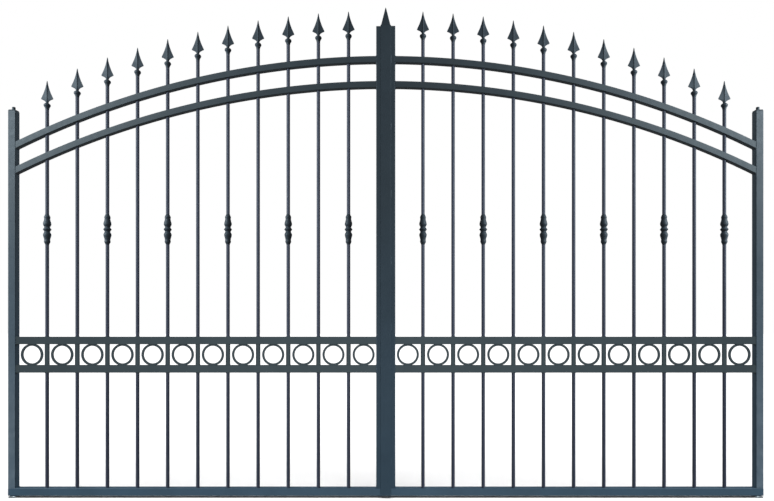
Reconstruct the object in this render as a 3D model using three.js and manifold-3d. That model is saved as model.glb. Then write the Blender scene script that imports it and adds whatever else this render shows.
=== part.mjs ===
// Double-leaf arched garden gate. Two mirrored steel leaves turn on pivots under and
// over their outer stiles and meet behind a cover strip at the centre.
// Millimetres. X runs across the opening, Y is depth with the outside at -Y, Z is up.
// The origin is on the ground at the middle of the opening.

import * as THREE from "three";
import { mergeVertices } from "three/addons/utils/BufferGeometryUtils.js";
import Module from "manifold-3d";

// ---- driving dimensions ----
const GATE_WIDTH = 3000;
const GROUND_GAP = 9;
const MEETING_GAP = 16;
const FIT = 0.3;
const WELD = 0.5;
const WALL = 2;

const STILE = 30;
const HINGE_STILE_TOP = 1534;
const MEETING_STILE_TOP = 1866;
const BOTTOM_RAIL_HEIGHT = 30;

const BAY_COUNT = 12;
const BAY = 120.2;
const FIRST_BAR_X = 1350.4;
const BAR_RADIUS = 7;
const BAR_SIDES = 8;
const BAR_Y = -2.5;

const ARCH_RADIUS = 3350;
const ARCH_CROWN = 1747;
const ARCH_DROP = 99.5;
const ARCH_RAIL = 25;
const ARCH_STEPS = 12;

const FRIEZE_BOTTOM = 488.5;
const FRIEZE_RAIL = 30;
const FRIEZE_CLEAR = 83;
const FRIEZE_DEPTH = 20;
const RING_RADIUS = 44;
const RING_BAND = 9;
const RING_DEPTH = 8;
const RING_SIDES = 16;
const SLEEVE_RADIUS = 9;

const KNOT_CENTRE = 1059;
const TIP_ARC_RADIUS = 3400;
const TIP_ARC_CROWN = 1931;
const SPEAR_LENGTH = 109;
const SPEAR_FLATNESS = 0.32;

const PIN_RADIUS = 7;
const PIN_LENGTH = 20;
const PIN_SHOULDER = 13;
const BUSH_RADIUS = 12;
const BUSH_REACH = 1.5;
const BUSH_ROOF = 5;
const PEG_RADIUS = 6.5;
const PEG_HEIGHT = 14;
const CAP_THICKNESS = 3;
const CAP_STEM = 20;

const FLOOR_PLATE = 5;
const FLOOR_PLATE_REACH = 85;
const FLOOR_PLATE_BACK = 70;
const FLOOR_TONGUE_BACK = 22;
const KEEP_PLATE_WIDTH = 150;
const KEEP_PLATE_DEPTH = 40;
const ANCHOR_RADIUS = 4.5;

const BOLT_RADIUS = 7;
const BOLT_Y = 34;
const BOLT_BOTTOM = 60;
const BOLT_TOP = 470;
const GRIP_RADIUS = 5;
const GRIP_LENGTH = 55;
const GRIP_BELOW_TOP = 15;
const GUIDE_BOTTOM = 110;
const GUIDE_TOP = 340;
const GUIDE_WIDTH = 26;
const GUIDE_PLATE = 4;
const LUG_HEIGHT = 22;
const LUG_INSET = 8;
const LUG_WRAP = 12;

const STRIP_WIDTH = 42;
const STRIP_THICK = 8;
const STRIP_LIP = 4;
const STRIP_FOOT = 2;
const SPIKE_BASE = 36;
const SPIKE_PLINTH = 4;
const SPIKE_TIP = 1944;

// ---- places worked out from them ----
const OUTER_X = GATE_WIDTH / 2;
const HINGE_X = OUTER_X - STILE / 2;
const MEETING_X = MEETING_GAP / 2 + STILE / 2;
const FRONT_Y = -STILE / 2;
const RUN_INNER = MEETING_X + STILE / 2 + FIT;
const RUN_OUTER = OUTER_X - STILE - FIT;
const RAIL_TOP = BOTTOM_RAIL_HEIGHT + FIT;
const FRIEZE_TOP = FRIEZE_BOTTOM + 2 * FRIEZE_RAIL + FRIEZE_CLEAR;
const BORE_RADIUS = (BAR_RADIUS + FIT) / Math.cos(Math.PI / BAR_SIDES);

// ---- paint and metal ----
function satinPaint(color, roughness) {
  return new THREE.MeshStandardMaterial({ color, roughness, metalness: 0.25 });
}
const framePaint = satinPaint(0x3a4754, 0.5);
const railPaint = satinPaint(0x424f5a, 0.5);
const barPaint = satinPaint(0x343e4b, 0.45);
const friezePaint = satinPaint(0x414e55, 0.5);
const forgedPaint = satinPaint(0x38434e, 0.55);
const zincSteel = new THREE.MeshStandardMaterial({ color: 0x8b9095, roughness: 0.4, metalness: 0.9 });
const nylon = new THREE.MeshStandardMaterial({ color: 0x1b1d1f, roughness: 0.6, metalness: 0 });

// ---- solid modelling helpers ----
const wasm = await Module();
wasm.setup();

// A closed geometry whose shared vertices are one, without the flat triangles that a
// lathe leaves where its profile meets the axis.
function closed(geometry) {
  geometry.deleteAttribute("normal");
  geometry.deleteAttribute("uv");
  const merged = mergeVertices(geometry, 1e-3);
  const corners = merged.index.array;
  const kept = [];
  for (let i = 0; i < corners.length; i += 3) {
    const [a, b, c] = [corners[i], corners[i + 1], corners[i + 2]];
    if (a !== b && b !== c && c !== a) {
      kept.push(a, b, c);
    }
  }
  merged.setIndex(kept);
  return merged;
}

function solid(geometry) {
  const merged = closed(geometry);
  const vertProperties = Float32Array.from(merged.attributes.position.array);
  const triVerts = Uint32Array.from(merged.index.array);
  return new wasm.Manifold(new wasm.Mesh({ numProp: 3, vertProperties, triVerts }));
}

function geometryOf(body) {
  const faces = body.getMesh();
  const geometry = new THREE.BufferGeometry();
  geometry.setAttribute("position", new THREE.BufferAttribute(faces.vertProperties, 3));
  geometry.setIndex(new THREE.BufferAttribute(faces.triVerts, 1));
  geometry.computeVertexNormals();
  return geometry;
}

function piece(name, geometry, material, x = 0, y = 0, z = 0) {
  const mesh = new THREE.Mesh(geometry, material);
  mesh.name = name;
  mesh.position.set(x, y, z);
  return mesh;
}

function box(x0, x1, y0, y1, z0, z1) {
  const geometry = new THREE.BoxGeometry(x1 - x0, y1 - y0, z1 - z0);
  return geometry.translate((x0 + x1) / 2, (y0 + y1) / 2, (z0 + z1) / 2);
}

// A round bar standing on z0, as a prism of the given number of sides.
function rod(radius, z0, z1, sides = BAR_SIDES, x = 0, y = 0) {
  const geometry = new THREE.CylinderGeometry(radius, radius, z1 - z0, sides);
  return geometry.rotateX(Math.PI / 2).translate(x, y, (z0 + z1) / 2);
}

// A turned shape about Z from a profile of [radius, height] points, taken upwards on
// its outside.
function turned(profile, sides) {
  const points = profile.map(([radius, height]) => new THREE.Vector2(radius, height));
  return new THREE.LatheGeometry(points, sides).rotateX(Math.PI / 2);
}

// An upright plate: an outline in X and Z, with its faces at y0 and y1.
function plate(outline, y0, y1) {
  const shape = new THREE.Shape(outline.map(([x, z]) => new THREE.Vector2(x, z)));
  const geometry = new THREE.ExtrudeGeometry(shape, { depth: y1 - y0, bevelEnabled: false });
  return geometry.rotateX(Math.PI / 2).translate(0, y1, 0);
}

// Bar 1 is next to the hinge stile; halves count the middles of the bays between bars.
const barX = (i) => FIRST_BAR_X - BAY * (i - 1);
const arcHeight = (x, radius, crown) => crown - radius + Math.sqrt(radius ** 2 - x ** 2);
const barNumbers = Array.from({ length: BAY_COUNT - 1 }, (_, i) => i + 1);

// The bores that let a leaf's bars through a rail.
function barBores(side, z0, z1) {
  const bore = (i) => solid(rod(BORE_RADIUS, z0, z1, BAR_SIDES, side * barX(i), BAR_Y));
  return wasm.Manifold.union(barNumbers.map(bore));
}

// ---- leaf members ----

// Square tube standing on the bottom rail, open at its foot; roof closes its top.
function stileGeometry(top, roof) {
  const half = STILE / 2;
  const bore = half - WALL;
  const outside = solid(box(-half, half, -half, half, RAIL_TOP, top));
  const inside = solid(box(-bore, bore, -bore, bore, RAIL_TOP - 1, roof ? top - WALL : top + 1));
  return geometryOf(outside.subtract(inside));
}

// Rectangular tube with closed ends, drilled underneath for the pivot bush.
function bottomRailGeometry(side) {
  const inner = side * (MEETING_GAP / 2);
  const outer = side * OUTER_X;
  const [x0, x1] = side < 0 ? [outer, inner] : [inner, outer];
  const half = STILE / 2;
  const tube = solid(box(x0, x1, -half, half, 0, BOTTOM_RAIL_HEIGHT));
  const hollow = solid(
    box(x0 + WALL, x1 - WALL, WALL - half, half - WALL, WALL, BOTTOM_RAIL_HEIGHT - WALL),
  );
  const bushHole = solid(rod(BUSH_RADIUS + 2 * FIT, -1, WALL + 1, 16, side * HINGE_X));
  return geometryOf(tube.subtract(hollow).subtract(bushHole));
}

// A band of the arch between two radii, longer than the leaf at both ends.
function archBand(side, outerRadius, innerRadius, drop, y0, y1) {
  const reach = (OUTER_X + STILE) / ARCH_RADIUS;
  const centreZ = ARCH_CROWN - ARCH_RADIUS - drop;
  const arc = (radius) =>
    Array.from({ length: ARCH_STEPS + 1 }, (_, i) => {
      const angle = side * (reach * i) / ARCH_STEPS;
      return [radius * Math.sin(angle), centreZ + radius * Math.cos(angle)];
    });
  const outline = [...arc(outerRadius), ...arc(innerRadius).reverse()];
  return solid(plate(side < 0 ? outline : outline.reverse(), y0, y1));
}

// Curved square tube between the stiles, its front flush with theirs.
function archRailGeometry(side, drop) {
  const backY = FRONT_Y + ARCH_RAIL;
  const outside = archBand(side, ARCH_RADIUS, ARCH_RADIUS - ARCH_RAIL, drop, FRONT_Y, backY);
  const inside = archBand(
    side,
    ARCH_RADIUS - WALL,
    ARCH_RADIUS - ARCH_RAIL + WALL,
    drop,
    FRONT_Y + WALL,
    backY - WALL,
  );
  const [x0, x1] = side < 0 ? [-RUN_OUTER, -RUN_INNER] : [RUN_INNER, RUN_OUTER];
  const low = arcHeight(OUTER_X, ARCH_RADIUS, ARCH_CROWN) - drop - 2 * ARCH_RAIL;
  const span = solid(box(x0, x1, FRONT_Y - 1, backY + 1, low, 2 * ARCH_CROWN));
  const tube = outside.subtract(inside).intersect(span);
  return geometryOf(tube.subtract(barBores(side, low, ARCH_CROWN + 1)));
}

function ringBand(x, z) {
  const shape = new THREE.Shape().absarc(0, 0, RING_RADIUS, 0, 2 * Math.PI);
  shape.holes.push(new THREE.Path().absarc(0, 0, RING_RADIUS - RING_BAND, 0, 2 * Math.PI));
  // a full circle is drawn with two sides for each curve segment
  const options = { depth: RING_DEPTH, bevelEnabled: false, curveSegments: RING_SIDES / 2 };
  const geometry = new THREE.ExtrudeGeometry(shape, options).rotateX(Math.PI / 2);
  return solid(geometry.translate(x, BAR_Y + RING_DEPTH / 2, z));
}

// Two rectangular tubes welded together by a row of rings and of short sleeves, with
// bores for the bars through tubes and sleeves.
function friezeGeometry(side) {
  const [x0, x1] = side < 0 ? [-RUN_OUTER, -RUN_INNER] : [RUN_INNER, RUN_OUTER];
  const half = FRIEZE_DEPTH / 2;
  const lowerTop = FRIEZE_BOTTOM + FRIEZE_RAIL;
  const upperBottom = FRIEZE_TOP - FRIEZE_RAIL;
  const middle = (FRIEZE_BOTTOM + FRIEZE_TOP) / 2;
  const tube = (z0, z1) => {
    const outside = solid(box(x0, x1, BAR_Y - half, BAR_Y + half, z0, z1));
    const [y0, y1] = [BAR_Y - half + WALL, BAR_Y + half - WALL];
    return outside.subtract(solid(box(x0 - 1, x1 + 1, y0, y1, z0 + WALL, z1 - WALL)));
  };
  const rings = Array.from({ length: BAY_COUNT }, (_, i) => ringBand(side * barX(i + 0.5), middle));
  const [foot, head] = [lowerTop - WELD, upperBottom + WELD];
  const sleeve = (i) => solid(rod(SLEEVE_RADIUS, foot, head, 16, side * barX(i), BAR_Y));
  const cassette = wasm.Manifold.union([
    tube(FRIEZE_BOTTOM, lowerTop),
    tube(upperBottom, FRIEZE_TOP),
    ...rings,
    ...barNumbers.map(sleeve),
  ]);
  return geometryOf(cassette.subtract(barBores(side, FRIEZE_BOTTOM - 1, FRIEZE_TOP + 1)));
}

// Round bar with its forged spearhead welded on: a ball under a barbed diamond blade.
function barGeometry(x) {
  const tip = arcHeight(x, TIP_ARC_RADIUS, TIP_ARC_CROWN) - RAIL_TOP;
  // the bar runs on into the ball that ends the spearhead
  const neck = tip - SPEAR_LENGTH + BAR_RADIUS;
  const shank = solid(rod(BAR_RADIUS, 0, neck));
  const ball = [
    [0, neck - 5],
    [7.4, neck - 5],
    [11.5, neck],
    [13, neck + 6],
    [11, neck + 12],
    [5.5, neck + 17],
    [0, neck + 17],
  ];
  const blade = [
    [0, tip - 92],
    [6.5, tip - 92],
    [7.5, tip - 80],
    [13, tip - 75],
    [24, tip - 70],
    [18, tip - 57],
    [9, tip - 37],
    [4, tip - 18],
    [0, tip],
  ];
  const flat = turned(blade, 4).scale(1, SPEAR_FLATNESS, 1);
  return geometryOf(wasm.Manifold.union([shank, solid(turned(ball, 8)), solid(flat)]));
}

// Forged collar threaded on a bar: end beads, two swellings and a sharp middle bead.
function knotGeometry() {
  const half = [
    [16, 0],
    [9.5, 6],
    [16, 19],
    [13.5, 30],
    [9.5, 42],
    [11.5, 50],
    [9, 58.5],
  ];
  const lower = half.slice(1).reverse().map(([radius, z]) => [radius, -z]);
  const end = half[half.length - 1][1];
  const profile = [[BORE_RADIUS, -end], ...lower, ...half, [BORE_RADIUS, end], [BORE_RADIUS, -end]];
  return closed(turned(profile, BAR_SIDES));
}

// Plug in the top of the hinge stile, with the peg that the upper hinge bracket holds.
function pivotCapGeometry() {
  const half = STILE / 2;
  const plug = half - WALL - FIT;
  const top = HINGE_STILE_TOP;
  const lidBottom = top - CAP_THICKNESS;
  const lid = solid(box(-half, half, -half, half, lidBottom, top));
  const stem = solid(box(-plug, plug, -plug, plug, lidBottom - CAP_STEM, lidBottom + WELD));
  const peg = solid(rod(PEG_RADIUS, top - WELD, top + PEG_HEIGHT, 12));
  return geometryOf(wasm.Manifold.union([lid, stem, peg]));
}

// Blind bush in the end of the bottom rail, turning on the floor pivot's pin.
function pivotBushGeometry() {
  const bore = (PIN_RADIUS + FIT) / Math.cos(Math.PI / 16);
  const roof = BOTTOM_RAIL_HEIGHT - WALL - FIT;
  const profile = [
    [0, roof - BUSH_ROOF],
    [bore, roof - BUSH_ROOF],
    [bore, -BUSH_REACH],
    [BUSH_RADIUS, -BUSH_REACH],
    [BUSH_RADIUS, roof],
    [0, roof],
  ];
  return closed(turned(profile, 16));
}

// Drop bolt behind the meeting stile: a round bar with a turned-out grip.
function dropBoltGeometry() {
  const length = BOLT_TOP - BOLT_BOTTOM;
  const shank = solid(rod(BOLT_RADIUS, 0, length, 12));
  const grip = new THREE.CylinderGeometry(GRIP_RADIUS, GRIP_RADIUS, GRIP_LENGTH, 8);
  grip.translate(0, GRIP_LENGTH / 2, length - GRIP_BELOW_TOP);
  return geometryOf(shank.add(solid(grip)));
}

// Bolt guide on the stile's back: a flat plate with two bored lugs.
function boltGuideGeometry() {
  const back = STILE / 2 + FIT;
  const half = GUIDE_WIDTH / 2;
  const lug = (z) => {
    const [y0, y1] = [back + GUIDE_PLATE - WELD, BOLT_Y + LUG_WRAP];
    return solid(box(-LUG_WRAP, LUG_WRAP, y0, y1, z, z + LUG_HEIGHT));
  };
  const body = wasm.Manifold.union([
    solid(box(-half, half, back, back + GUIDE_PLATE, GUIDE_BOTTOM, GUIDE_TOP)),
    lug(GUIDE_BOTTOM + LUG_INSET),
    lug(GUIDE_TOP - LUG_INSET - LUG_HEIGHT),
  ]);
  const bore = (BOLT_RADIUS + FIT) / Math.cos(Math.PI / 12);
  const hole = solid(rod(bore, GUIDE_BOTTOM - 1, GUIDE_TOP + 1, 12, 0, BOLT_Y));
  return geometryOf(body.subtract(hole));
}

// ---- centre pieces, carried by the right leaf ----

// Rebated flat bar: its thick half lies on the right stile, its lip covers the gap and
// clears the left stile.
function coverStripGeometry() {
  const half = STRIP_WIDTH / 2;
  const back = FRONT_Y - FIT;
  const front = back - STRIP_THICK;
  const top = MEETING_STILE_TOP;
  const body = solid(box(-half, half, front, back, STRIP_FOOT, top));
  const rebate = solid(box(-half - 1, 1, front + STRIP_LIP, back + 1, 0, top + 1));
  return geometryOf(body.subtract(rebate));
}

// Square pyramid on a low plinth, standing on the right stile and the cover strip.
function spikeGeometry() {
  const half = SPIKE_BASE / 2;
  const foot = MEETING_STILE_TOP + FIT;
  const plinthTop = foot + SPIKE_PLINTH;
  const profile = [
    [0, foot],
    [half * Math.SQRT2, foot],
    [half * Math.SQRT2, plinthTop],
    [0, SPIKE_TIP],
  ];
  return closed(turned(profile, 4).rotateZ(Math.PI / 4));
}

// ---- ground fixings ----

// L-shaped plate on the ground: a narrow tongue carries the pin under the leaf's corner,
// and the wide part behind the leaf takes the anchors.
function floorPivotGeometry(side) {
  const half = STILE / 2;
  const outline = [
    [half, -half],
    [half, FLOOR_PLATE_BACK],
    [-FLOOR_PLATE_REACH, FLOOR_PLATE_BACK],
    [-FLOOR_PLATE_REACH, FLOOR_TONGUE_BACK],
    [-half, FLOOR_TONGUE_BACK],
    [-half, -half],
  ].map(([x, y]) => new THREE.Vector2(side * x, y));
  const shape = new THREE.Shape(side > 0 ? outline : outline.reverse());
  const base = new THREE.ExtrudeGeometry(shape, { depth: FLOOR_PLATE, bevelEnabled: false });
  const shoulder = GROUND_GAP - BUSH_REACH - FIT;
  const pin = [
    [0, FLOOR_PLATE - WELD],
    [PIN_SHOULDER, FLOOR_PLATE - WELD],
    [PIN_SHOULDER, shoulder],
    [PIN_RADIUS, shoulder],
    [PIN_RADIUS, shoulder + PIN_LENGTH],
    [0, shoulder + PIN_LENGTH],
  ];
  const inset = 12;
  const backRow = FLOOR_PLATE_BACK - inset;
  const frontRow = FLOOR_TONGUE_BACK + inset;
  const farColumn = 20 - FLOOR_PLATE_REACH;
  const holes = [[farColumn, frontRow], [farColumn, backRow], [0, backRow]].map(([x, y]) =>
    solid(rod(ANCHOR_RADIUS, -1, FLOOR_PLATE + 1, 8, side * x, y)),
  );
  const body = solid(base).add(solid(turned(pin, 16)));
  return geometryOf(body.subtract(wasm.Manifold.union(holes)));
}

// Low plate behind the closed leaves with a hole for each drop bolt.
function keepPlateGeometry() {
  const half = KEEP_PLATE_WIDTH / 2;
  const front = BOLT_Y - 13;
  const base = solid(box(-half, half, front, front + KEEP_PLATE_DEPTH, 0, FLOOR_PLATE));
  const hole = (radius, x, y) => solid(rod(radius, -1, FLOOR_PLATE + 1, 12, x, y));
  const anchorX = half - 15;
  const anchorY = BOLT_Y + 14;
  const holes = [
    hole(BOLT_RADIUS + 1.5, -MEETING_X, BOLT_Y),
    hole(BOLT_RADIUS + 1.5, MEETING_X, BOLT_Y),
    hole(ANCHOR_RADIUS, -anchorX, anchorY),
    hole(ANCHOR_RADIUS, anchorX, anchorY),
  ];
  return geometryOf(base.subtract(wasm.Manifold.union(holes)));
}

// ---- assembly ----
function leaf(name, side) {
  const group = new THREE.Group();
  group.position.z = GROUND_GAP;
  const meetingTop = side > 0 ? MEETING_STILE_TOP : MEETING_STILE_TOP - 1;
  const hingeX = side * HINGE_X;
  const meetingX = side * MEETING_X;
  const hingeTubeTop = HINGE_STILE_TOP - CAP_THICKNESS - FIT;
  group.add(
    piece(`${name}_hinge_stile`, stileGeometry(hingeTubeTop, false), framePaint, hingeX),
    piece(`${name}_meeting_stile`, stileGeometry(meetingTop, true), framePaint, meetingX),
    piece(`${name}_bottom_rail`, bottomRailGeometry(side), framePaint),
    piece(`${name}_upper_arch_rail`, archRailGeometry(side, 0), railPaint),
    piece(`${name}_lower_arch_rail`, archRailGeometry(side, ARCH_DROP), railPaint),
    piece(`${name}_ring_frieze`, friezeGeometry(side), friezePaint),
    piece(`${name}_pivot_cap`, pivotCapGeometry(), framePaint, hingeX),
    piece(`${name}_pivot_bush`, pivotBushGeometry(), nylon, hingeX),
    piece(`${name}_bolt_guide`, boltGuideGeometry(), framePaint, meetingX),
    piece(`${name}_drop_bolt`, dropBoltGeometry(), zincSteel, meetingX, BOLT_Y, BOLT_BOTTOM),
  );
  for (const i of barNumbers) {
    const number = String(i).padStart(2, "0");
    const x = side * barX(i);
    group.add(piece(`${name}_bar_${number}`, barGeometry(x), barPaint, x, BAR_Y, RAIL_TOP));
    if (i % 2 === 1) {
      group.add(piece(`${name}_knot_${number}`, knotGeometry(), forgedPaint, x, BAR_Y, KNOT_CENTRE));
    }
  }
  return group;
}

const gate = new THREE.Group();
const rightLeaf = leaf("right", 1);
rightLeaf.add(
  piece("cover_strip", coverStripGeometry(), framePaint),
  piece("centre_spike", spikeGeometry(), framePaint, 0, -3),
);
gate.add(
  leaf("left", -1),
  rightLeaf,
  piece("left_floor_pivot", floorPivotGeometry(-1), zincSteel, -HINGE_X),
  piece("right_floor_pivot", floorPivotGeometry(1), zincSteel, HINGE_X),
  piece("floor_keep_plate", keepPlateGeometry(), zincSteel),
);

export default gate;
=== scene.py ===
"""Double-leaf arched garden gate: every visible piece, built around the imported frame.

Metres. X runs across the opening, -Y is the outside, Z is up. Each leaf's members take
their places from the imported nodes' boxes; the sizes below are what a box can't give.
"""

import math

import bmesh
import bpy
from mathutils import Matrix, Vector, noise

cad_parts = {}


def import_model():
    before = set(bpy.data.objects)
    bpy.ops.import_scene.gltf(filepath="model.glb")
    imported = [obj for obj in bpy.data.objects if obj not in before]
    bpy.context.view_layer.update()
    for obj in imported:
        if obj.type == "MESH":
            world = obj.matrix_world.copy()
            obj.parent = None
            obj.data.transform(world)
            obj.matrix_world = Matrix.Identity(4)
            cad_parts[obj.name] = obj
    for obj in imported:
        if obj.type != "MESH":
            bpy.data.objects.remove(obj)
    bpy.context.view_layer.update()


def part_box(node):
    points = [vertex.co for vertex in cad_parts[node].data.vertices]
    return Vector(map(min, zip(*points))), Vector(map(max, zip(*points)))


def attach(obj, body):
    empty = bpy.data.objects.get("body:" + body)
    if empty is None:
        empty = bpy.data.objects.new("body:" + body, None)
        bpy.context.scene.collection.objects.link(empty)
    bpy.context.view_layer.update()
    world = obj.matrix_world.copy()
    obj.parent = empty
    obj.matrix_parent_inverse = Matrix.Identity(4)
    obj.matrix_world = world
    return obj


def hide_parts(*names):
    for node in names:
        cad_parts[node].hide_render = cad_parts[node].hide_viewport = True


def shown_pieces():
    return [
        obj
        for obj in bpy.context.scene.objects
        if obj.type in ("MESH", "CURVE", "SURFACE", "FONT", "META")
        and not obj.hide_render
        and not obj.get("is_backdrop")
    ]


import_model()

# ---- sizes ----
MM = 0.001
GROUND_GAP = 9 * MM
STILE_CORNER = 2.2 * MM
RAIL_CORNER = 2 * MM
FRIEZE_CORNER = 1.8 * MM
END_CHAMFER = 0.8 * MM
CAP_CORNER = 5 * MM

ARCH_RADIUS = 3350 * MM
ARCH_CROWN = 1747 * MM + GROUND_GAP
ARCH_DROP = 99.5 * MM
ARCH_RAIL = 25 * MM
ARCH_STEPS = 72

FRIEZE_RAIL = 30 * MM
RING_RADIUS = 44 * MM
RING_BAND = 9 * MM
RING_DEPTH = 8 * MM
SLEEVE_RADIUS = 9 * MM

BAR_RADIUS = 7 * MM
BAR_SIDES = 40
SPEAR_LENGTH = 109 * MM
RIB_RADIUS = 2.3 * MM
FLOOR_PLATE = 5 * MM
BOLT_RADIUS = 7 * MM
STRIP_LIP = 4 * MM
SPIKE_PLINTH = 4 * MM
SCREW_HOLE_RADIUS = 4.5 * MM
BOLT_SOCKET_RADIUS = 8.5 * MM
FLOOR_PIN_RADIUS = 7 * MM
FLOOR_COLLAR_RADIUS = 13 * MM
TOP_PEG_RADIUS = 6.5 * MM
BUSH_BORE_RADIUS = 7.4 * MM

# A weld's beat along its bead, how much each beat swells it, and the sides of its section.
WELD_RIPPLE = 2.4 * MM
WELD_SWELL = 0.12
WELD_SIDES = 8
SMALL_WELD_SIDES = 6
BAR_WELD_SWELL = 0.1

BAR_NUMBERS = [f"{i:02d}" for i in range(1, 12)]
KNOT_NUMBERS = BAR_NUMBERS[::2]

# Half-width of the spearhead's blade at each distance below its tip.
BLADE_OUTLINE = [
    (0.0, 0.8), (3, 1.5), (8, 2.4), (14, 3.4), (21, 5.2), (29, 7.2), (36, 9.6), (44, 12.4),
    (51, 15.2), (59, 18.8), (65, 21.6), (69, 23.4), (71, 24.0), (72.8, 23.4), (74.2, 20.6),
    (76, 16.4), (78.5, 11.8), (82, 7.8), (86, 5.4), (89, 5.2),
]
# Radius of the bead under the blade, at each distance below the tip.
BEAD_PROFILE = [
    (86, 4.6), (88.5, 5.8), (91, 9.0), (94, 12.0), (97.5, 13.0), (101, 12.2), (104, 10.2),
    (107.5, 8.6), (111, 7.6), (115, 7.1),
]
# Radius of the forged collar at each height over its middle; the lower half mirrors it.
KNOT_PROFILE = [
    (0, 15.4), (1.5, 15.0), (4, 12.8), (7.5, 10.8), (10.5, 10.7), (14, 12.5), (18, 14.4),
    (22, 14.9), (27, 14.1), (33, 12.4), (38, 11.2), (42, 10.8), (45, 11.2), (48, 11.6),
    (51, 11.3), (54.5, 9.5), (58.5, 7.8), (60.5, 7.1),
]


# ---- shapes ----
class Shell:
    """The vertices and faces of one piece while it is made."""

    def __init__(self):
        self.points = []
        self.faces = []

    def loop(self, points):
        first = len(self.points)
        self.points.extend(tuple(p) for p in points)
        return list(range(first, len(self.points)))

    def loft(self, loops, closed=False):
        """Skins a run of loops with the same number of points; closed joins last to first."""
        rows = [self.loop(points) for points in loops]
        pairs = list(zip(rows, rows[1:]))
        if closed:
            pairs.append((rows[-1], rows[0]))
        else:
            self.faces.append(tuple(reversed(rows[0])))
            self.faces.append(tuple(rows[-1]))
        for low, high in pairs:
            for i in range(len(low)):
                j = (i + 1) % len(low)
                self.faces.append((low[i], low[j], high[j], high[i]))


def turns(sides):
    """The angles of even steps round a circle."""
    return [2 * math.pi * k / sides for k in range(sides)]


def circle(x, y, radius, sides):
    """A 2D circle as even points, anticlockwise from its right-hand side."""
    return [(x + radius * math.cos(a), y + radius * math.sin(a)) for a in turns(sides)]


def ring_at(x, y, radius, z, sides):
    """A level circle."""
    return [(u, v, z) for u, v in circle(x, y, radius, sides)]


def through(points, steps):
    """A smooth curve through 2D points, with that many steps between neighbours."""
    padded = [points[0], *points, points[-1]]
    curve = []
    for a, b, c, d in zip(padded, padded[1:], padded[2:], padded[3:]):
        for k in range(steps):
            t = k / steps
            curve.append(tuple(
                0.5 * (2 * q + (r - p) * t + (2 * p - 5 * q + 4 * r - s) * t**2
                       + (3 * q - p - 3 * r + s) * t**3)
                for p, q, r, s in zip(a, b, c, d)
            ))
    return [*curve, points[-1]]


def filleted(corners, radius, steps=4):
    """A 2D outline with each corner rounded off by a short curve."""
    outline = []
    for i, corner in enumerate(corners):
        here = Vector(corner)
        before = Vector(corners[i - 1])
        after = Vector(corners[(i + 1) % len(corners)])
        start = here + (before - here).normalized() * radius
        end = here + (after - here).normalized() * radius
        for k in range(steps + 1):
            angle = math.pi / 2 * k / steps
            # a quarter ellipse between the two ends, which is an arc at a right angle
            outline.append(start + (here - start) * math.sin(angle)
                           + (end - here) * (1 - math.cos(angle)))
    return outline


def rectangle(u0, u1, v0, v1, radius, steps=4):
    return filleted([(u0, v0), (u1, v0), (u1, v1), (u0, v1)], radius, steps)


def inset(outline, amount):
    """An anticlockwise outline moved inwards."""
    moved = []
    for i, point in enumerate(outline):
        along = (outline[(i + 1) % len(outline)] - outline[i - 1]).normalized()
        moved.append(point + Vector((-along.y, along.x)) * amount)
    return moved


def extrude(shell, outline, axis, start, end, chamfer=END_CHAMFER):
    """A prism along an axis (0 is X, 1 Y, 2 Z) with chamfered ends."""
    order = [(2, 0, 1), (1, 2, 0), (0, 1, 2)][axis]

    def placed(loop, place):
        return [[(u, v, place)[k] for k in order] for u, v in loop]

    narrow = inset(outline, chamfer)
    shell.loft([
        placed(narrow, start),
        placed(outline, start + chamfer),
        placed(outline, end - chamfer),
        placed(narrow, end),
    ])


def square_bar(shell, low, high, axis, radius, chamfer=END_CHAMFER):
    """A rectangular tube or bar that fills a box, its long edges rounded."""
    a, b = [(1, 2), (2, 0), (0, 1)][axis]
    outline = rectangle(low[a], high[a], low[b], high[b], radius)
    extrude(shell, outline, axis, low[axis], high[axis], chamfer)


def lathe(shell, profile, x, y, sides=BAR_SIDES, rough=0.0):
    """A turned shape about a vertical axis, from (height, radius) points."""
    loops = []
    for height, radius in profile:
        loop = []
        for angle in turns(sides):
            reach = radius
            if rough:
                spot = Vector((math.cos(angle), math.sin(angle), height / (12 * MM) + x * 40))
                reach += rough * noise.noise(spot * 2.2)
            loop.append((x + reach * math.cos(angle), y + reach * math.sin(angle), height))
        loops.append(loop)
    shell.loft(loops)


def sweep(shell, path, radius, sides=8, closed=False, ripple=0.0):
    """A round rod along a path; ripple swells it at a weld's even beat."""
    path = [Vector(p) for p in path]
    count = len(path)
    loops = []
    side = None
    travelled = 0.0
    for i, point in enumerate(path):
        after = path[(i + 1) % count] if closed or i < count - 1 else point
        before = path[i - 1] if closed or i > 0 else point
        along = (after - before).normalized()
        if side is None:
            side = along.orthogonal().normalized()
        side = (side - along * side.dot(along)).normalized()
        other = along.cross(side)
        swell = 1 + ripple * math.sin(2 * math.pi * travelled / WELD_RIPPLE)
        loops.append([
            point + (side * math.cos(turn) + other * math.sin(turn)) * radius * swell
            for turn in turns(sides)
        ])
        travelled += (after - point).length
    shell.loft(loops, closed)


def straight(start, end, step=0.8 * MM):
    """Points from start to end, close enough together for a weld's ripple."""
    start, end = Vector(start), Vector(end)
    count = max(2, round((end - start).length / step))
    return [start.lerp(end, k / count) for k in range(count + 1)]


def weld(shell, start, end, radius, sides=WELD_SIDES):
    """A straight weld bead."""
    sweep(shell, straight(start, end), radius, sides, False, WELD_SWELL)


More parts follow.
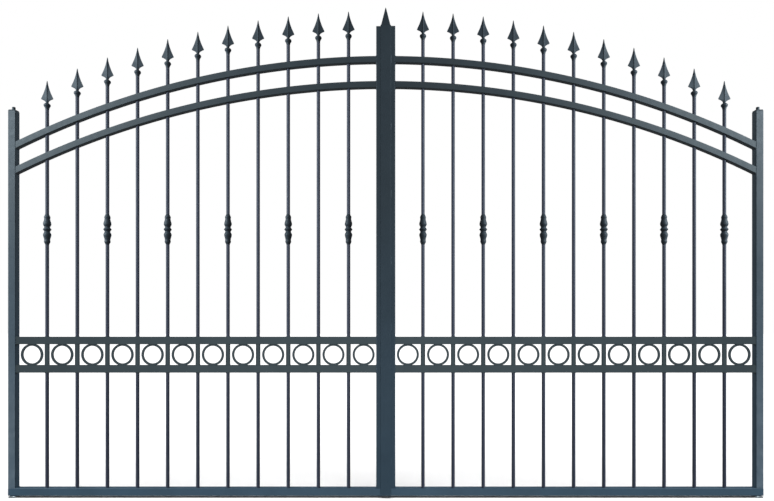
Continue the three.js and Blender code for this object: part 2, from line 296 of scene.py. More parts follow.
def drilled_plate(outline, holes, z0, z1, bevel=0.5 * MM):
    """A mesh of a flat plate with bevelled edges; holes are (x, y, radius)."""
    curve = bpy.data.curves.new("plate", "CURVE")
    curve.dimensions = "2D"
    curve.fill_mode = "BOTH"
    curve.extrude = (z1 - z0) / 2 - bevel
    curve.bevel_depth = bevel
    curve.bevel_resolution = 2
    curve.offset = -bevel
    rims = [circle(x, y, r, 32) for x, y, r in holes]
    for rim in [outline, *rims]:
        spline = curve.splines.new("POLY")
        spline.points.add(len(rim) - 1)
        for place, (x, y) in zip(spline.points, rim):
            place.co = (x, y, 0, 1)
        spline.use_cyclic_u = True
    holder = bpy.data.objects.new("plate", curve)
    bpy.context.scene.collection.objects.link(holder)
    bpy.context.view_layer.update()
    evaluated = holder.evaluated_get(bpy.context.evaluated_depsgraph_get())
    mesh = bpy.data.meshes.new_from_object(evaluated)
    bpy.data.objects.remove(holder)
    bpy.data.curves.remove(curve)
    for vertex in mesh.vertices:
        vertex.co.z += (z0 + z1) / 2
    return mesh


def add_mesh(shell, mesh):
    """Adds a finished mesh to a shell."""
    first = len(shell.points)
    shell.points.extend(tuple(v.co) for v in mesh.vertices)
    shell.faces.extend(tuple(first + i for i in face.vertices) for face in mesh.polygons)
    bpy.data.meshes.remove(mesh)


# ---- materials ----
class Nodes:
    """Short names for making and joining a material's nodes."""

    def __init__(self, name):
        self.material = bpy.data.materials.new(name)
        self.material.use_nodes = True
        self.tree = self.material.node_tree
        self.shader = self.tree.nodes["Principled BSDF"]
        self.place = self.tree.nodes.new("ShaderNodeTexCoord").outputs["Object"]

    def add(self, kind, **settings):
        node = self.tree.nodes.new(kind)
        for key, value in settings.items():
            setattr(node, key, value)
        return node

    def join(self, output, target):
        self.tree.links.new(output, target)

    def noise(self, scale, detail=3.0, roughness=0.55):
        node = self.add("ShaderNodeTexNoise")
        node.inputs["Scale"].default_value = scale
        node.inputs["Detail"].default_value = detail
        node.inputs["Roughness"].default_value = roughness
        self.join(self.place, node.inputs["Vector"])
        return node.outputs["Fac"]

    def between(self, value, low, high, from_low=0.3, from_high=0.7):
        node = self.add("ShaderNodeMapRange")
        node.inputs["From Min"].default_value = from_low
        node.inputs["From Max"].default_value = from_high
        node.inputs["To Min"].default_value = low
        node.inputs["To Max"].default_value = high
        self.join(value, node.inputs["Value"])
        return node.outputs["Result"]

    def mix(self, factor, first, second):
        """Mixes two colours; each is a colour or another node's output."""
        node = self.add("ShaderNodeMix", data_type="RGBA")
        self.join(factor, node.inputs["Factor"])
        for socket, colour in ((node.inputs[6], first), (node.inputs[7], second)):
            if isinstance(colour, tuple):
                socket.default_value = (*colour, 1)
            else:
                self.join(colour, socket)
        return node.outputs[2]

    def bump(self, height, strength, distance, normal=None):
        node = self.add("ShaderNodeBump")
        node.inputs["Strength"].default_value = strength
        node.inputs["Distance"].default_value = distance
        self.join(height, node.inputs["Height"])
        if normal is not None:
            self.join(normal, node.inputs["Normal"])
        return node.outputs["Normal"]


def satin_paint(name, low_painted_light_colour, high_painted_light_colour, roughness, cast=0.0, peel_strength=0.1):
    """Satin powder coat with orange peel, its colour changing with height as painted light and
    shade, not as a change in the paint.

    cast is the strength of a forging's rougher skin under the paint.
    """
    nodes = Nodes(name)
    height = nodes.add("ShaderNodeSeparateXYZ")
    nodes.join(nodes.place, height.inputs["Vector"])
    # painted light and shade: the colour grades from foot to top to stand in for how the lamps
    # light the gate
    painted_light_rise = nodes.between(height.outputs["Z"], 0, 1, 0.0, 1.2)
    base = nodes.mix(painted_light_rise, low_painted_light_colour, high_painted_light_colour)
    # random paler clouds like dust, laid over the same painted light grading
    paler = [tuple(1.16 * c for c in colour) for colour in (low_painted_light_colour, high_painted_light_colour)]
    dust_and_painted_light = nodes.mix(painted_light_rise, *paler)
    clouds = nodes.between(nodes.noise(9, 4), 0, 1)
    nodes.join(nodes.mix(clouds, base, dust_and_painted_light), nodes.shader.inputs["Base Color"])
    rough = nodes.between(nodes.noise(45, 3), roughness - 0.05, roughness + 0.07)
    nodes.join(rough, nodes.shader.inputs["Roughness"])
    peel = nodes.bump(nodes.noise(520, 2), peel_strength, 0.1 * MM)
    if cast:
        peel = nodes.bump(nodes.noise(190, 4), cast, 0.7 * MM, peel)
    nodes.join(peel, nodes.shader.inputs["Normal"])
    nodes.shader.inputs["IOR"].default_value = 1.48
    return nodes.material


def zinc_plate(name):
    """Dull zinc plate: fine spangle in its tone and gloss."""
    nodes = Nodes(name)
    spangle = nodes.add("ShaderNodeTexVoronoi")
    spangle.inputs["Scale"].default_value = 160
    nodes.join(nodes.place, spangle.inputs["Vector"])
    grain = nodes.between(spangle.outputs["Color"], 0, 1, 0.1, 0.9)
    tone = nodes.mix(grain, (0.42, 0.43, 0.44), (0.54, 0.55, 0.56))
    stain = nodes.between(nodes.noise(30, 4), 0, 1, 0.5, 0.75)
    nodes.join(nodes.mix(stain, tone, (0.36, 0.35, 0.34)), nodes.shader.inputs["Base Color"])
    nodes.join(nodes.between(grain, 0.32, 0.48, 0, 1), nodes.shader.inputs["Roughness"])
    nodes.join(nodes.bump(nodes.noise(400, 3), 0.2, 0.2 * MM), nodes.shader.inputs["Normal"])
    nodes.shader.inputs["Metallic"].default_value = 0.5
    return nodes.material


def black_nylon(name):
    nodes = Nodes(name)
    clouds = nodes.between(nodes.noise(60), 0, 1)
    tone = nodes.mix(clouds, (0.012, 0.013, 0.014), (0.02, 0.021, 0.023))
    nodes.join(tone, nodes.shader.inputs["Base Color"])
    nodes.join(nodes.between(nodes.noise(200), 0.5, 0.65), nodes.shader.inputs["Roughness"])
    nodes.join(nodes.bump(nodes.noise(700), 0.15, 0.2 * MM), nodes.shader.inputs["Normal"])
    return nodes.material


# the low and high colours are a painted light grading, lighter and bluer at the foot
FRAME_PAINT = satin_paint(
    "frame_paint", low_painted_light_colour=(0.052, 0.088, 0.124), high_painted_light_colour=(0.049, 0.066, 0.081),
    roughness=0.42,
)
# a lit copy of the frame paint for the arch rails: the same real paint, its lighter top colour is
# painted light
LIT_COPY_RAIL_PAINT = satin_paint(
    "rail_paint", low_painted_light_colour=(0.056, 0.092, 0.126), high_painted_light_colour=(0.068, 0.087, 0.1),
    roughness=0.42,
)
BAR_PAINT = satin_paint(
    "bar_paint", low_painted_light_colour=(0.061, 0.067, 0.1), high_painted_light_colour=(0.062, 0.067, 0.094),
    roughness=0.42, peel_strength=0.0,
)
FORGED_PAINT = satin_paint(
    "forged_paint", low_painted_light_colour=(0.05, 0.068, 0.088), high_painted_light_colour=(0.052, 0.07, 0.088),
    roughness=0.48, cast=0.35,
)
FRIEZE_PAINT = satin_paint(
    "frieze_paint", low_painted_light_colour=(0.053, 0.064, 0.069), high_painted_light_colour=(0.053, 0.064, 0.069),
    roughness=0.46,
)
ZINC_STEEL = zinc_plate("zinc_steel")
NYLON = black_nylon("nylon")


# ---- making a piece ----
def piece(name, shell, material, body, slot, *nodes, sharp=32.0, weighted=True):
    """Makes an object from a shell, rides it on a body and hides the nodes it stands for."""
    mesh = bpy.data.meshes.new(name)
    mesh.from_pydata(shell.points, [], shell.faces)
    work = bmesh.new()
    work.from_mesh(mesh)
    bmesh.ops.remove_doubles(work, verts=work.verts, dist=0.002 * MM)
    bmesh.ops.recalc_face_normals(work, faces=work.faces)
    work.to_mesh(mesh)
    work.free()
    mesh.shade_smooth()
    mesh.set_sharp_from_angle(angle=math.radians(sharp))
    mesh.materials.append(material)
    made = bpy.data.objects.new(name, mesh)
    bpy.context.scene.collection.objects.link(made)
    if weighted:
        made.modifiers.new("weighted_normals", "WEIGHTED_NORMAL").keep_sharp = True
    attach(made, body)
    if nodes:
        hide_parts(*nodes)
    return made


def middle(node):
    low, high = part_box(node)
    return (low + high) / 2


def arch_height(x, drop, offset=0.0):
    """Height of an arch rail at x, on the surface that lies offset inside its top."""
    return ARCH_CROWN - drop - ARCH_RADIUS + math.sqrt((ARCH_RADIUS - offset) ** 2 - x * x)


# ---- the leaf's frame ----
def stile(side, kind):
    node = f"{side}_{kind}_stile"
    low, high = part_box(node)
    shell = Shell()
    square_bar(shell, low, high, 2, STILE_CORNER)
    piece(f"{node}_tube", shell, FRAME_PAINT, f"{side}_leaf", "frame_paint", node)


def bottom_rail(side):
    node = f"{side}_bottom_rail"
    low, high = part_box(node)
    shell = Shell()
    square_bar(shell, low, high, 0, STILE_CORNER)
    piece(f"{node}_tube", shell, FRAME_PAINT, f"{side}_leaf", "frame_paint", node)


def arch_rail(side, kind, drop):
    node = f"{side}_{kind}_arch_rail"
    low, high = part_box(node)
    section = rectangle(0, ARCH_RAIL, low.y, high.y, RAIL_CORNER)
    loops = []
    for i in range(ARCH_STEPS + 1):
        x = low.x + (high.x - low.x) * i / ARCH_STEPS
        loops.append([(x, y, arch_height(x, drop, depth)) for depth, y in section])
    shell = Shell()
    shell.loft(loops)
    piece(f"{node}_tube", shell, LIT_COPY_RAIL_PAINT, f"{side}_leaf", "frame_paint", node)


def pivot_cap(side):
    node = f"{side}_pivot_cap"
    low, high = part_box(node)
    centre = middle(node)
    lid_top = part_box(f"{side}_hinge_stile")[1].z + 3.3 * MM
    lid = rectangle(low.x, high.x, low.y, high.y, CAP_CORNER, 6)
    shell = Shell()
    extrude(shell, lid, 2, lid_top - 3 * MM, lid_top, 0.9 * MM)
    peg = [
        (lid_top - 1 * MM, 8 * MM), (lid_top + 0.6 * MM, 7.8 * MM),
        (lid_top + 1.6 * MM, TOP_PEG_RADIUS), (high.z - 2 * MM, TOP_PEG_RADIUS),
        (high.z - 0.6 * MM, 5.6 * MM), (high.z, 4 * MM),
    ]
    lathe(shell, peg, centre.x, centre.y)
    piece(f"{side}_stile_cap", shell, FRAME_PAINT, f"{side}_leaf", "frame_paint", node)


def pivot_bush(side):
    node = f"{side}_pivot_bush"
    low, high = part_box(node)
    centre = middle(node)
    outer = (high.x - low.x) / 2
    bore = BUSH_BORE_RADIUS
    lip = 0.6 * MM
    bore_top = high.z - 5 * MM
    profile = [
        (bore_top, bore), (low.z + lip, bore), (low.z, bore + lip), (low.z, outer - lip),
        (low.z + lip, outer), (high.z - lip, outer), (high.z, outer - lip), (high.z, 1 * MM),
        (bore_top, 1 * MM),
    ]
    shell = Shell()
    shell.loft([ring_at(centre.x, centre.y, r, z, 32) for z, r in profile], closed=True)
    piece(f"{side}_bottom_bush", shell, NYLON, f"{side}_leaf", "nylon", node)


# ---- bars, spearheads and collars ----
def blade_section(x, y, below, half, z):
    """One level of the blade: thin barbed edges that thicken to a round rib."""
    edge = min(0.8 * MM, 0.45 * half)
    web = min(2.6 * MM, 0.5 * half)
    crest = min(4.2 * MM, 0.85 * half)
    rib = min(RIB_RADIUS, 0.35 * half)
    front = [(share * half, None) for share in (1, 0.94, 0.78, 0.6, 0.42)]
    front += [(share * rib, share) for share in (1, 0.8, 0.55, 0.28, 0)]
    points = []
    for across, share in front:
        depth = edge + (web - edge) * (1 - across / half)
        if share is not None:
            depth += (crest - web) * math.cos(math.pi / 2 * share) ** 1.4
        points.append((across, depth))
    # below the barbs the blade turns into the round neck
    blend = min(1, max(0, (below - 78 * MM) / (9 * MM)))
    blend = blend * blend * (3 - 2 * blend)
    if blend:
        count = len(points) - 1
        points = [
            (a + (half * math.cos(math.pi / 2 * k / count) - a) * blend,
             d + (half * math.sin(math.pi / 2 * k / count) - d) * blend)
            for k, (a, d) in enumerate(points)
        ]
    quarter = points[:-1]
    crest_depth = points[-1][1]
    loop = [(x + a, y - d, z) for a, d in quarter]
    loop.append((x, y - crest_depth, z))
    loop += [(x - a, y - d, z) for a, d in reversed(quarter)]
    loop += [(x - a, y + d, z) for a, d in quarter]
    loop.append((x, y + crest_depth, z))
    loop += [(x + a, y + d, z) for a, d in reversed(quarter)]
    return loop


def spearhead(side, number):
    node = f"{side}_bar_{number}"
    place, tip = middle(node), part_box(node)[1].z
    shell = Shell()
    outline = through([(d * MM, w * MM) for d, w in BLADE_OUTLINE], 3)
    shell.loft([blade_section(place.x, place.y, d, w, tip - d) for d, w in outline])
    bead = [(tip - d, r) for d, r in through([(d * MM, r * MM) for d, r in BEAD_PROFILE], 3)]
    lathe(shell, bead, place.x, place.y, 24, 0.18 * MM)
    name = f"{side}_spearhead_{number}"
    piece(name, shell, FORGED_PAINT, f"{side}_leaf", "bar_paint", node, sharp=50)


def round_bar(side, number):
    node = f"{side}_bar_{number}"
    low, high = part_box(node)
    place = middle(node)
    shell = Shell()
    profile = [(low.z, BAR_RADIUS), (high.z - SPEAR_LENGTH, BAR_RADIUS)]
    lathe(shell, profile, place.x, place.y)
    piece(f"{node}_rod", shell, BAR_PAINT, f"{side}_leaf", "bar_paint", node, weighted=False)


def knot(side, number):
    node = f"{side}_knot_{number}"
    place = middle(node)
    upper = [(h * MM, r * MM) for h, r in KNOT_PROFILE]
    lower = [(-h, r) for h, r in reversed(upper[1:])]
    profile = [(place.z + h, r) for h, r in through([*lower, *upper], 3)]
    shell = Shell()
    lathe(shell, profile, place.x, place.y, 32, 0.4 * MM)
    name = f"{side}_collar_{number}"
    piece(name, shell, FORGED_PAINT, f"{side}_leaf", "bar_paint", node, sharp=60)


# ---- the ring frieze ----
def frieze_ring(side, index, x, y, z):
    inner = RING_RADIUS - RING_BAND
    section = rectangle(inner, RING_RADIUS, y - RING_DEPTH / 2, y + RING_DEPTH / 2, 1.6 * MM, 3)
    loops = []
    for turn in turns(80):
        across, up = math.cos(turn), math.sin(turn)
        loops.append([(x + reach * across, depth, z + reach * up) for reach, depth in section])
    shell = Shell()
    shell.loft(loops, closed=True)
    node = f"{side}_ring_frieze"
    piece(f"{side}_ring_{index:02d}", shell, FRIEZE_PAINT, f"{side}_leaf", "frieze_paint", node)


def frieze(side):
    node = f"{side}_ring_frieze"
    low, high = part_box(node)
    body, slot = f"{side}_leaf", "frieze_paint"
    tubes = {"lower": (low.z, low.z + FRIEZE_RAIL), "upper": (high.z - FRIEZE_RAIL, high.z)}
    for kind, (z0, z1) in tubes.items():
        shell = Shell()
        square_bar(shell, (low.x, low.y, z0), (high.x, high.y, z1), 0, FRIEZE_CORNER)
        piece(f"{side}_{kind}_frieze_tube", shell, FRIEZE_PAINT, body, slot, node)
    bars = [middle(f"{side}_bar_{n}") for n in BAR_NUMBERS]
    foot, head = tubes["lower"][1], tubes["upper"][0]
    for number, bar in zip(BAR_NUMBERS, bars):
        shell = Shell()
        sleeve = [
            (foot - MM, SLEEVE_RADIUS - MM), (foot + 0.2 * MM, SLEEVE_RADIUS - 0.4 * MM),
            (foot + MM, SLEEVE_RADIUS), (head - MM, SLEEVE_RADIUS),
            (head - 0.2 * MM, SLEEVE_RADIUS - 0.4 * MM), (head + MM, SLEEVE_RADIUS - MM),
        ]
        lathe(shell, sleeve, bar.x, bar.y, 36)
        piece(f"{side}_frieze_sleeve_{number}", shell, FRIEZE_PAINT, body, slot, node)
    bay = bars[1].x - bars[0].x
    for index in range(len(bars) + 1):
        x = bars[0].x + bay * (index - 0.5)
        frieze_ring(side, index + 1, x, bars[0].y, (low.z + high.z) / 2)


# ---- welds ----
def bar_bead(shell, bar, height_at):
    """A fillet weld round a bar, on a surface whose height depends on x."""
    around = circle(bar.x, bar.y, BAR_RADIUS + 0.4 * MM, 40)
    path = [(x, y, height_at(x)) for x, y in around]
    sweep(shell, path, 1.5 * MM, SMALL_WELD_SIDES, True, BAR_WELD_SWELL)


def end_beads(shell, x, y0, y1, z0, z1, radius=1.7 * MM):
    """Welds above and below a tube's end, against an upright face at x."""
    for z in (z0, z1):
        weld(shell, (x, y0, z), (x, y1, z), radius)


def leaf_welds(side):
    """Every weld bead of a leaf, in one piece for the frame and one for the frieze."""
    body = f"{side}_leaf"
    bars = [middle(f"{side}_bar_{n}") for n in BAR_NUMBERS]
    shell = Shell()
    for kind, drop in (("upper", 0), ("lower", ARCH_DROP)):
        low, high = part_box(f"{side}_{kind}_arch_rail")
        for x in (low.x, high.x):
            top, bottom = arch_height(x, drop), arch_height(x, drop, ARCH_RAIL)
            end_beads(shell, x, low.y + 1.5 * MM, high.y, bottom, top)
            weld(shell, (x, high.y, bottom), (x, high.y, top), 2 * MM)
        for bar in bars:
            bar_bead(shell, bar, lambda x, d=drop: arch_height(x, d))
            bar_bead(shell, bar, lambda x, d=drop: arch_height(x, d, ARCH_RAIL))
    rail_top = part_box(f"{side}_bottom_rail")[1].z
    for bar in bars:
        bar_bead(shell, bar, lambda x: rail_top)
    for kind in ("hinge", "meeting"):
        low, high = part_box(f"{side}_{kind}_stile")
        inner = low.x if abs(low.x) < abs(high.x) else high.x
        if kind == "meeting":
            inner = low.x + high.x - inner
        ends = (low.y + 2 * MM, high.y - 2 * MM)
        weld(shell, (inner, ends[0], rail_top), (inner, ends[1], rail_top), 1.8 * MM)
        ends = (low.x + 2 * MM, high.x - 2 * MM)
        weld(shell, (ends[0], high.y, rail_top), (ends[1], high.y, rail_top), 1.2 * MM)
    piece(f"{side}_frame_welds", shell, FRAME_PAINT, body, "frame_paint", weighted=False)

    low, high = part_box(f"{side}_ring_frieze")
    shell = Shell()
    for z0, z1 in ((low.z, low.z + FRIEZE_RAIL), (high.z - FRIEZE_RAIL, high.z)):
        for x in (low.x, high.x):
            end_beads(shell, x, low.y + 1 * MM, high.y - 1 * MM, z0, z1, 1.5 * MM)
        for y in (low.y, high.y):
            for x in (low.x, high.x):
                weld(shell, (x, y, z0), (x, y, z1), 1.5 * MM)
    for bar in bars:
        bar_bead(shell, bar, lambda x: high.z)
        bar_bead(shell, bar, lambda x: low.z)
    bay = bars[1].x - bars[0].x
    ring_y = RING_DEPTH / 2 + 0.2 * MM
    for index in range(len(bars) + 1):
        x = bars[0].x + bay * (index - 0.5)
        for z, turn in ((low.z + FRIEZE_RAIL, 1), (high.z - FRIEZE_RAIL, -1)):
            for y in (bars[0].y - ring_y, bars[0].y + ring_y):
                for way in (-1, 1):
                    start = (x + way * 3 * MM, y, z + turn * 0.4 * MM)
                    end = (x + way * 13 * MM, y, z + turn * 1.6 * MM)
                    weld(shell, start, end, 1.3 * MM, SMALL_WELD_SIDES)
    piece(f"{side}_frieze_welds", shell, FRIEZE_PAINT, body, "frieze_paint", weighted=False)


# ---- drop bolts and floor fixings ----
def drop_bolt(side):
    node = f"{side}_drop_bolt"
    low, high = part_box(node)
    x, y = (low.x + high.x) / 2, low.y + BOLT_RADIUS
    bend = 16 * MM
    level = high.z - 15 * MM
    path = [(x, y, low.z), (x, y, low.z + 3 * MM), (x, y, level - bend - 20 * MM)]
    for k in range(9):
        angle = math.pi / 2 * k / 8
        path.append((x, y + bend * (1 - math.cos(angle)), level - bend + bend * math.sin(angle)))
    path += [(x, y + bend + 5 * MM, level), (x, high.y - 2 * MM, level)]
    shell = Shell()
    sweep(shell, path, BOLT_RADIUS, 24)
    # a turned end on the grip and a blunt one on the foot
    ends = ((path[-1], (0, 1, 0), 2 * MM), (path[0], (0, 0, -1), 0.1 * MM))
    for end, along, size in ends:
        end, along = Vector(end), Vector(along)
        sweep(shell, [end - along * MM, end + along * size], BOLT_RADIUS * 0.8, 24)
    piece(f"{side}_cane_bolt", shell, ZINC_STEEL, f"{side}_bolt", "zinc_steel", node)


def bolt_guide(side):
    node = f"{side}_bolt_guide"
    low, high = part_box(node)
    bolt_low, bolt_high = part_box(f"{side}_drop_bolt")
    bolt = Vector(((bolt_low.x + bolt_high.x) / 2, bolt_low.y + BOLT_RADIUS))
    plate_back = low.y + 4 * MM
    shell = Shell()
    outline = rectangle(low.z, high.z, low.x, high.x, 4 * MM)
    narrow = inset(outline, 0.7 * MM)
    levels = [
        (narrow, low.y), (outline, low.y + 0.7 * MM),
        (outline, plate_back - 0.7 * MM), (narrow, plate_back),
    ]
    shell.loft([[(x, y, z) for z, x in loop] for loop, y in levels])
    reach = high.y - bolt.y
    lug = [(bolt.x - reach, plate_back - MM), (bolt.x + reach, plate_back - MM)]
    lug += [
        (bolt.x + reach * math.cos(a), bolt.y + reach * math.sin(a))
        for a in (math.pi * k / 20 for k in range(21))
    ]
    bore = (bolt.x, bolt.y, BOLT_RADIUS + 0.5 * MM)
    lug_height = 22 * MM
    for z in (low.z + 8 * MM, high.z - 30 * MM):
        add_mesh(shell, drilled_plate(lug, [bore], z, z + lug_height))
        for level in (z, z + lug_height):
            start = (bolt.x - reach + MM, plate_back, level)
            end = (bolt.x + reach - MM, plate_back, level)
            weld(shell, start, end, 1.4 * MM)
    weld_y = low.y + 0.5 * MM
    for x in (low.x, high.x):
        for share in (0.12, 0.44, 0.76):
            z0 = low.z + (high.z - low.z) * share
            weld(shell, (x, weld_y, z0), (x, weld_y, z0 + 28 * MM), 1.8 * MM)
    piece(f"{side}_bolt_keeper", shell, FRAME_PAINT, f"{side}_leaf", "frame_paint", node)


def countersunk_screw(shell, x, y, z):
    """A screw head flush with a plate's top, with a hexagon socket."""
    rim, socket = 7.2 * MM, 3 * MM
    profile = [(z - 2 * MM, 4.5 * MM), (z - 0.2 * MM, rim), (z + 0.25 * MM, rim - 0.3 * MM)]
    loops = [ring_at(x, y, radius, height, 24) for height, radius in profile]
    for height in (z + 0.25 * MM, z - 1.6 * MM):
        loop = []
        for angle in turns(24):
            across = socket / math.cos((angle + math.pi / 6) % (math.pi / 3) - math.pi / 6)
            loop.append((x + across * math.cos(angle), y + across * math.sin(angle), height))
        loops.append(loop)
    shell.loft(loops)


def floor_pivot(side):
    node = f"{side}_floor_pivot"
    low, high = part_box(node)
    hinge = middle(f"{side}_pivot_bush")
    way = 1 if hinge.x > 0 else -1
    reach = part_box(f"{side}_bottom_rail")
    half = (reach[1].y - reach[0].y) / 2
    back_edge, tongue = high.y, 22 * MM
    far = (high.x - low.x) - half
    corners = [
        (half, -half), (half, back_edge), (-far, back_edge),
        (-far, tongue), (-half, tongue), (-half, -half),
    ]
    corners = [(hinge.x + way * x, y) for x, y in corners]
    if way < 0:
        corners.reverse()
    spots = [
        (-far + 20 * MM, tongue + 12 * MM), (-far + 20 * MM, back_edge - 12 * MM),
        (0, back_edge - 12 * MM),
    ]
    holes = [(hinge.x + way * x, y, SCREW_HOLE_RADIUS) for x, y in spots]
    shell = Shell()
    add_mesh(shell, drilled_plate(filleted(corners, 6 * MM), holes, low.z, FLOOR_PLATE))
    shoulder = 7.2 * MM
    pin = [
        (FLOOR_PLATE - 0.5 * MM, FLOOR_COLLAR_RADIUS), (shoulder - 0.5 * MM, FLOOR_COLLAR_RADIUS),
        (shoulder, 12.5 * MM), (shoulder, FLOOR_PIN_RADIUS),
        (high.z - 1.5 * MM, FLOOR_PIN_RADIUS), (high.z, 5.5 * MM),
    ]
    lathe(shell, pin, hinge.x, hinge.y)
    around = ring_at(hinge.x, hinge.y, FLOOR_COLLAR_RADIUS, FLOOR_PLATE, 90)
    sweep(shell, around, 1.3 * MM, WELD_SIDES, True, WELD_SWELL)
    piece(f"{node}_plate", shell, ZINC_STEEL, "ground_fixings", "zinc_steel", node)
    screws = Shell()
    for x, y, _ in holes:
        countersunk_screw(screws, x, y, FLOOR_PLATE)
    piece(f"{node}_screws", screws, ZINC_STEEL, "ground_fixings", "zinc_steel")


def keep_plate():
    node = "floor_keep_plate"
    low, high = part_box(node)
    bolt_x = middle("right_meeting_stile").x
    bolt_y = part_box("right_drop_bolt")[0].y + BOLT_RADIUS
    screw_x, screw_y = high.x - 15 * MM, bolt_y + 14 * MM
    outline = rectangle(low.x, high.x, low.y, high.y, 6 * MM)
    holes = [(x, bolt_y, BOLT_SOCKET_RADIUS) for x in (-bolt_x, bolt_x)]
    holes += [(x, screw_y, SCREW_HOLE_RADIUS) for x in (-screw_x, screw_x)]
    shell = Shell()
    add_mesh(shell, drilled_plate(outline, holes, low.z, FLOOR_PLATE))
    piece(f"{node}_drilled", shell, ZINC_STEEL, "ground_fixings", "zinc_steel", node)
    screws = Shell()
    for x in (-screw_x, screw_x):
        countersunk_screw(screws, x, screw_y, FLOOR_PLATE)
    piece(f"{node}_screws", screws, ZINC_STEEL, "ground_fixings", "zinc_steel")


# ---- centre pieces ----
def cover_strip():
    low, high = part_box("cover_strip")
    step_x = 1 * MM
    lip_back = low.y + STRIP_LIP
    corners = [
        (low.x, low.y), (high.x, low.y), (high.x, high.y),
        (step_x, high.y), (step_x, lip_back), (low.x, lip_back),
    ]
    shell = Shell()
    extrude(shell, filleted(corners, 0.9 * MM, 3), 2, low.z, high.z, 0.6 * MM)
    piece("cover_strip_bar", shell, FRAME_PAINT, "right_leaf", "frame_paint", "cover_strip")
    welds = Shell()
    weld_y = high.y - 0.2 * MM
    count = 7
    for k in range(count):
        z = low.z + (high.z - low.z) * (k + 0.5) / count
        weld(welds, (high.x, weld_y, z - 14 * MM), (high.x, weld_y, z + 14 * MM), 1.6 * MM)
    piece("cover_strip_welds", welds, FRAME_PAINT, "right_leaf", "frame_paint", weighted=False)


def centre_spike():
    low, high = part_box("centre_spike")
    centre = middle("centre_spike")
    half = (high.x - low.x) / 2
    levels = [
        (low.z, half - 0.8 * MM), (low.z + 0.8 * MM, half), (low.z + SPIKE_PLINTH, half),
        (low.z + SPIKE_PLINTH + 1 * MM, half - 0.5 * MM), (high.z - 3 * MM, 1.6 * MM),
        (high.z - 1 * MM, 0.8 * MM), (high.z, 0.3 * MM),
    ]
    shell = Shell()
    loops = []
    for z, reach in levels:
        outline = rectangle(-reach, reach, -reach, reach, min(1.2 * MM, reach * 0.4))
        loops.append([(centre.x + u, centre.y + v, z) for u, v in outline])
    shell.loft(loops)
    piece("centre_spike_point", shell, FRAME_PAINT, "right_leaf", "frame_paint", "centre_spike")


def leaf(side):
    for kind in ("hinge", "meeting"):
        stile(side, kind)
    bottom_rail(side)
    arch_rail(side, "upper", 0)
    arch_rail(side, "lower", ARCH_DROP)
    frieze(side)
    pivot_cap(side)
    pivot_bush(side)
    for number in BAR_NUMBERS:
        round_bar(side, number)
        spearhead(side, number)
    for number in KNOT_NUMBERS:
        knot(side, number)
    leaf_welds(side)
    bolt_guide(side)
    drop_bolt(side)
    floor_pivot(side)


for leaf_side in ("left", "right"):
    leaf(leaf_side)
cover_strip()
centre_spike()
keep_plate()


# ---- camera, floor and light ----
LIGHT_COLOUR = (0.8, 0.93, 1.0)


def camera():
    """Level and straight on, with the whole gate in view."""
    front = -15 * MM
    distance, eye, aside = 2.52, 0.707, 0.005
    seen_width = 3.072
    data = bpy.data.cameras.new("camera")
    data.sensor_width = 36
    data.sensor_fit = "HORIZONTAL"
    data.lens = data.sensor_width * distance / seen_width
    data.shift_y = 0.0898
    made = bpy.data.objects.new("camera", data)
    made.location = (aside, front - distance, eye)
    made.rotation_euler = (math.pi / 2, 0, 0)
    bpy.context.scene.collection.objects.link(made)
    bpy.context.scene.camera = made


def receivers(name, wanted):
    """The pieces whose names pass a test, as a collection for a light to shine on."""
    group = bpy.data.collections.new(name)
    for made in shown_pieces():
        if wanted(made.name):
            group.objects.link(made)
    return group


def soft_light(name, place, target, size, power, group, glossy=True):
    data = bpy.data.lights.new(name, "AREA")
    data.shape = "DISK"
    data.size = size
    data.energy = power
    data.color = LIGHT_COLOUR
    made = bpy.data.objects.new(name, data)
    made.location = place
    made.rotation_euler = (Vector(target) - Vector(place)).to_track_quat("-Z", "Y").to_euler()
    bpy.context.scene.collection.objects.link(made)
    made.light_linking.receiver_collection = group
    made.visible_glossy = glossy


def floor():
    mesh = bpy.data.meshes.new("floor")
    reach = 30
    corners = [(-reach, -reach, 0), (reach, -reach, 0), (reach, reach, 0), (-reach, reach, 0)]
    mesh.from_pydata(corners, [], [(0, 1, 2, 3)])
    nodes = Nodes("pale_floor")
    tone = nodes.mix(nodes.noise(3), (0.86, 0.86, 0.86), (0.9, 0.9, 0.9))
    nodes.join(tone, nodes.shader.inputs["Base Color"])
    nodes.shader.inputs["Roughness"].default_value = 0.9
    mesh.materials.append(nodes.material)
    made = bpy.data.objects.new("floor", mesh)
    bpy.context.scene.collection.objects.link(made)
    made.visible_diffuse = False
    made.visible_glossy = False
    made.visible_shadow = False
    made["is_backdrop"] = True
    group = bpy.data.collections.new("floor_only")
    group.objects.link(made)
    data = bpy.data.lights.new("floor_light", "SUN")
    data.energy = 4.6
    data.angle = math.radians(60)
    sun = bpy.data.objects.new("floor_light", data)
    sun.rotation_euler = (math.radians(20), 0, 0)
    bpy.context.scene.collection.objects.link(sun)
    sun.light_linking.receiver_collection = group


def world():
    """White behind the gate, and a much dimmer even light from all round it."""
    made = bpy.data.worlds.new("studio")
    bpy.context.scene.world = made
    made.use_nodes = True
    tree = made.node_tree
    background = tree.nodes["Background"]
    background.inputs["Color"].default_value = (1, 1, 1, 1)
    seen = tree.nodes.new("ShaderNodeLightPath")
    strength = tree.nodes.new("ShaderNodeMapRange")
    strength.inputs["To Min"].default_value = 0.12
    strength.inputs["To Max"].default_value = 1.0
    tree.links.new(seen.outputs["Is Camera Ray"], strength.inputs["Value"])
    tree.links.new(strength.outputs["Result"], background.inputs["Strength"])


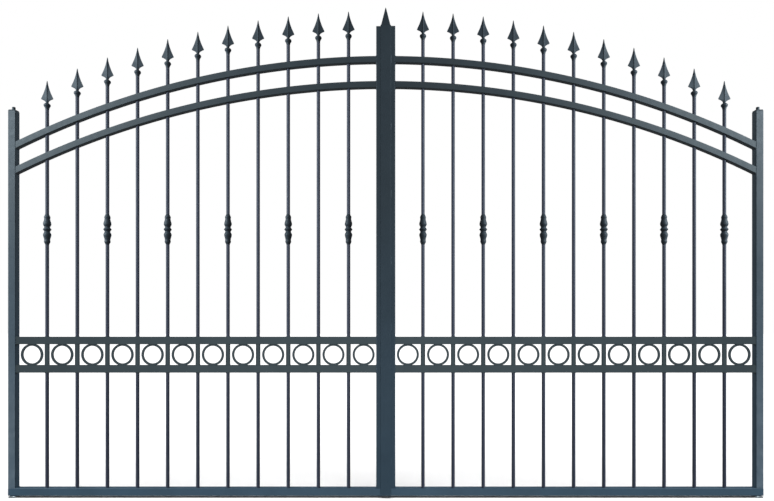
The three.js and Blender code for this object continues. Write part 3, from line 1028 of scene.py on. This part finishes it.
def lights():
    """Soft side lights for each leaf, and weaker flat ones for what they leave dark."""
    friezes = ("left_frieze", "left_ring", "left_lower_frieze", "left_upper_frieze",
               "right_frieze", "right_ring", "right_lower_frieze", "right_upper_frieze")
    fixings = ("left_floor", "right_floor", "floor")
    for side, way in (("left", -1), ("right", 1)):
        starts = (side, "cover", "centre") if side == "right" else side
        group = receivers(
            f"{side}_pieces",
            lambda name: name.startswith(starts) and not name.startswith((*friezes, *fixings)),
        )
        outer = receivers(f"{side}_outer", lambda name: name.startswith(f"{side}_hinge_stile"))
        soft_light(f"{side}_key", place=(way * 3.2, -2.2, 2.75), target=(way * 0.9, 0, 1.0),
                   size=2.3, power=86, group=group)
        soft_light(f"{side}_edge", place=(way * 3.6, -0.6, 1.5), target=(way * 0.8, 0, 1.0),
                   size=1.6, power=38, group=group)
        soft_light(f"{side}_low", place=(way * 2.8, -2.0, -0.2), target=(way * 1.3, 0, 0.3),
                   size=1.0, power=15, group=outer)
    rails = receivers("bottom_rails", lambda name: "bottom_rail" in name)
    soft_light("rail_fill", place=(0, -2.6, 0.2), target=(0, 0, 0),
               size=2.4, power=40, group=rails, glossy=False)
    centre = receivers("centre_pieces", lambda name: "meeting_stile" in name or "cover" in name)
    soft_light("centre_fill", place=(0, -2.0, 0.2), target=(0, 0, 0.3),
               size=1.2, power=10, group=centre, glossy=False)
    bars = receivers("bar_pieces", lambda name: "_rod" in name)
    soft_light("bar_fill", place=(0, -1.6, 1.2), target=(0, 0, 1.2),
               size=1.4, power=14, group=bars, glossy=False)
    frieze_group = receivers("frieze_pieces", lambda name: name.startswith(friezes))
    soft_light("frieze_fill", place=(0, -3.8, 1.6), target=(0, 0, 0.6),
               size=2.5, power=180, group=frieze_group, glossy=False)
    leaves = receivers("leaf_pieces", lambda name: not name.startswith(fixings))
    soft_light("back_fill", place=(0, 3.6, 2.0), target=(0, 0, 0.8),
               size=2.0, power=170, group=leaves, glossy=False)
    fixed = receivers("fixed_pieces", lambda name: name.startswith(fixings))
    soft_light("fixed_key", place=(0, -2.5, 2.5), target=(0, 0, 0),
               size=1.5, power=150, group=fixed)


camera()
floor()
world()
lights()
bpy.context.scene.view_settings.view_transform = "Standard"
